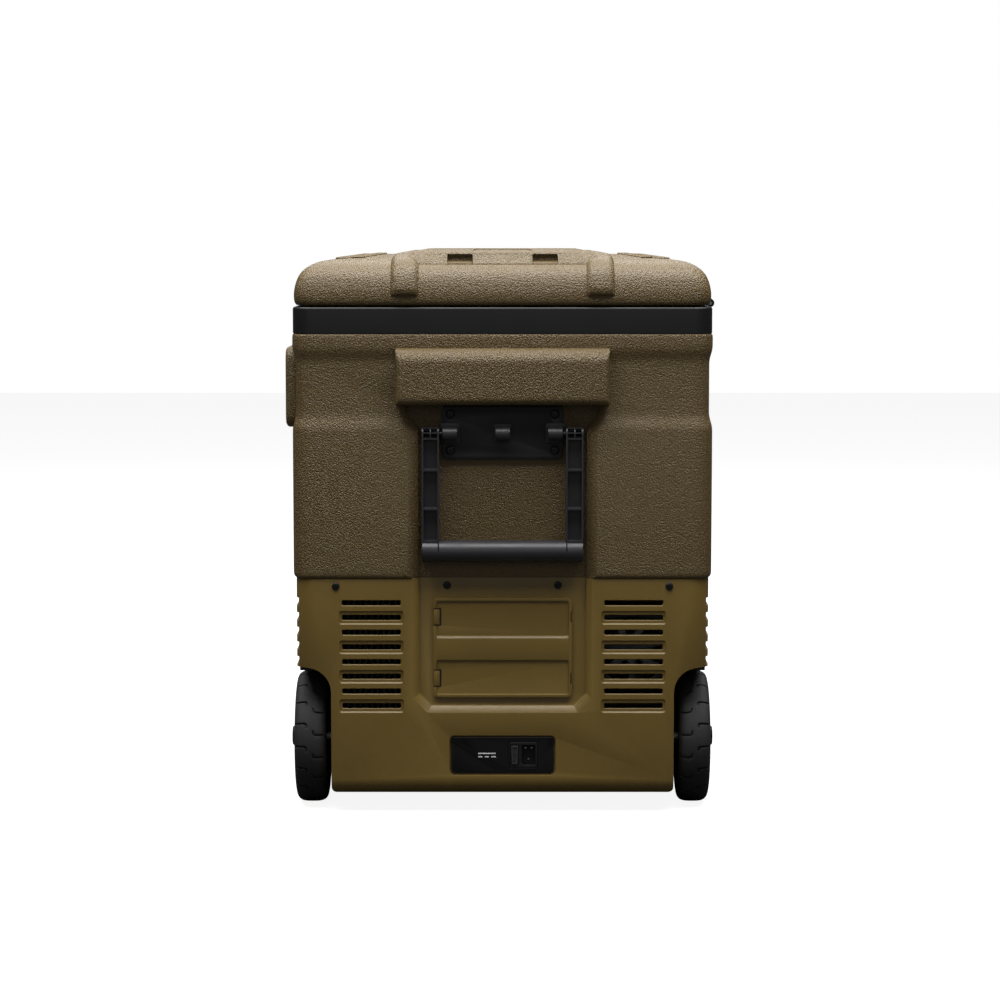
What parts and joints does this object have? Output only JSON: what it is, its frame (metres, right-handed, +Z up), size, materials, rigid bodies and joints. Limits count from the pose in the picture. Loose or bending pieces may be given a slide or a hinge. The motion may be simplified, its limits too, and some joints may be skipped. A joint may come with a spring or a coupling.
{
  "type": "compressor cooler fridge",
  "caption": "Wheeled compressor cooler fridge: insulated case with hinged lid, swing handle, telescoping pull handle, vents, battery door and power inlet.",
  "frame": {"origin": "on the ground under the middle of the fridge's bounding box", "axes": "+Z up, -Y the wheel end, +Y the pull-handle end, -X the control side, +X the lid-hinge side"},
  "size_m": [0.4174, 0.711, 0.5377],
  "materials": {
    "grained_case": "satin",
    "satin_case": "satin",
    "black_satin_plastic": "satin",
    "gloss_black_plastic": "gloss",
    "tyre_rubber": "matte",
    "seal_rubber": "matte",
    "steel_parts": "satin",
    "handle_tube": "satin",
    "compressor_paint": "satin",
    "white_liner": "satin",
    "insulation_foam": "matte",
    "grey_plastic": "satin",
    "circuit_board": "satin"
  },
  "bodies": {
    "cabinet": {"upper_shell": "grained_case", "lower_shell": "satin_case", "rim_frame": "black_satin_plastic", "inner_liner": "white_liner", "foam_core": "insulation_foam", "base_plate": "steel_parts", "compressor": "compressor_paint", "condenser": "handle_tube", "fan_frame": "black_satin_plastic", "battery_pack": "grey_plastic", "control_board": "circuit_board", "inlet_panel": "gloss_black_plastic", "inlet_socket": "black_satin_plastic", "handle_plate": "black_satin_plastic", "handle_pin": "steel_parts", "axle": "steel_parts", "foot_left": "seal_rubber", "foot_right": "seal_rubber", "pull_tube_left": "handle_tube", "pull_tube_right": "handle_tube", "pull_bracket_bottom": "black_satin_plastic", "pull_bracket_top": "black_satin_plastic", "hinge_base_front": "black_satin_plastic", "hinge_base_rear": "black_satin_plastic", "hinge_pin_front": "steel_parts", "hinge_pin_rear": "steel_parts", "control_pod": "grained_case", "display_window": "gloss_black_plastic", "basket": "grey_plastic", "interior_lamp": "white_liner"},
    "lid": {"lid_shell": "grained_case", "lid_liner": "white_liner", "lid_foam": "insulation_foam", "lid_gasket": "seal_rubber", "hinge_leaf_front": "black_satin_plastic", "hinge_leaf_rear": "black_satin_plastic", "latch_bracket": "black_satin_plastic", "latch_pin": "steel_parts"},
    "latch": {"latch_lever": "black_satin_plastic"},
    "bail": {"bail_handle": "black_satin_plastic"},
    "wheel_left": {"tyre_left": "tyre_rubber", "hub_left": "black_satin_plastic", "wheel_cap_left": "black_satin_plastic"},
    "wheel_right": {"tyre_right": "tyre_rubber", "hub_right": "black_satin_plastic", "wheel_cap_right": "black_satin_plastic"},
    "battery_door": {"battery_door": "satin_case"},
    "door_clip_lower": {"door_clip_lower": "satin_case"},
    "door_clip_upper": {"door_clip_upper": "satin_case"},
    "pull_handle": {"pull_rod_left": "handle_tube", "pull_rod_right": "handle_tube", "pull_grip": "black_satin_plastic"},
    "pull_button": {"pull_button": "grey_plastic"},
    "key_power": {"key_power": "grey_plastic"},
    "key_up": {"key_up": "grey_plastic"},
    "key_down": {"key_down": "grey_plastic"},
    "fan": {"fan_rotor": "black_satin_plastic"},
    "fuse_drawer": {"fuse_drawer": "black_satin_plastic"}
  },
  "joints": [
    {"name": "lid_hinge", "type": "hinge", "parent": "cabinet", "child": "lid", "pos_m": [0.2045, 0, 0.48635], "axis": [0, 1, 0], "range_deg": [0, 95]},
    {"name": "latch_pivot", "type": "hinge", "parent": "lid", "child": "latch", "pos_m": [-0.2037, 0, 0.5], "axis": [0, 1, 0], "range_deg": [0, 70]},
    {"name": "bail_hinge", "type": "hinge", "parent": "cabinet", "child": "bail", "pos_m": [0, -0.3398, 0.3655], "axis": [-1, 0, 0], "range_deg": [0, 95]},
    {"name": "wheel_left_spin", "type": "hinge", "parent": "cabinet", "child": "wheel_left", "pos_m": [-0.185, -0.27, 0.064], "axis": [1, 0, 0], "continuous": true},
    {"name": "wheel_right_spin", "type": "hinge", "parent": "cabinet", "child": "wheel_right", "pos_m": [0.185, -0.27, 0.064], "axis": [1, 0, 0], "continuous": true},
    {"name": "battery_door_hinge", "type": "hinge", "parent": "cabinet", "child": "battery_door", "pos_m": [0.06635, -0.3313, 0.15955], "axis": [0, 0, 1], "range_deg": [0, 100]},
    {"name": "door_clip_lower_slide", "type": "slide", "parent": "battery_door", "child": "door_clip_lower", "axis": [1, 0, 0], "range_m": [0, 0.0015], "stiffness_N_per_m": 300},
    {"name": "door_clip_upper_slide", "type": "slide", "parent": "battery_door", "child": "door_clip_upper", "axis": [1, 0, 0], "range_m": [0, 0.0015], "stiffness_N_per_m": 300},
    {"name": "pull_handle_slide", "type": "slide", "parent": "cabinet", "child": "pull_handle", "axis": [0, 0, 1], "range_m": [0, 0.25]},
    {"name": "pull_button_press", "type": "slide", "parent": "pull_handle", "child": "pull_button", "axis": [0, 0, -1], "range_m": [0, 0.0015], "stiffness_N_per_m": 400},
    {"name": "key_power_press", "type": "slide", "parent": "cabinet", "child": "key_power", "axis": [1, 0, 0], "range_m": [0, 0.001], "stiffness_N_per_m": 500},
    {"name": "key_up_press", "type": "slide", "parent": "cabinet", "child": "key_up", "axis": [1, 0, 0], "range_m": [0, 0.001], "stiffness_N_per_m": 500},
    {"name": "key_down_press", "type": "slide", "parent": "cabinet", "child": "key_down", "axis": [1, 0, 0], "range_m": [0, 0.001], "stiffness_N_per_m": 500},
    {"name": "fan_spin", "type": "hinge", "parent": "cabinet", "child": "fan", "pos_m": [0.1235, -0.3205, 0.157], "axis": [0, 1, 0], "continuous": true},
    {"name": "fuse_drawer_slide", "type": "slide", "parent": "cabinet", "child": "fuse_drawer", "axis": [0, -1, 0], "range_m": [0, 0.008]}
  ]
}
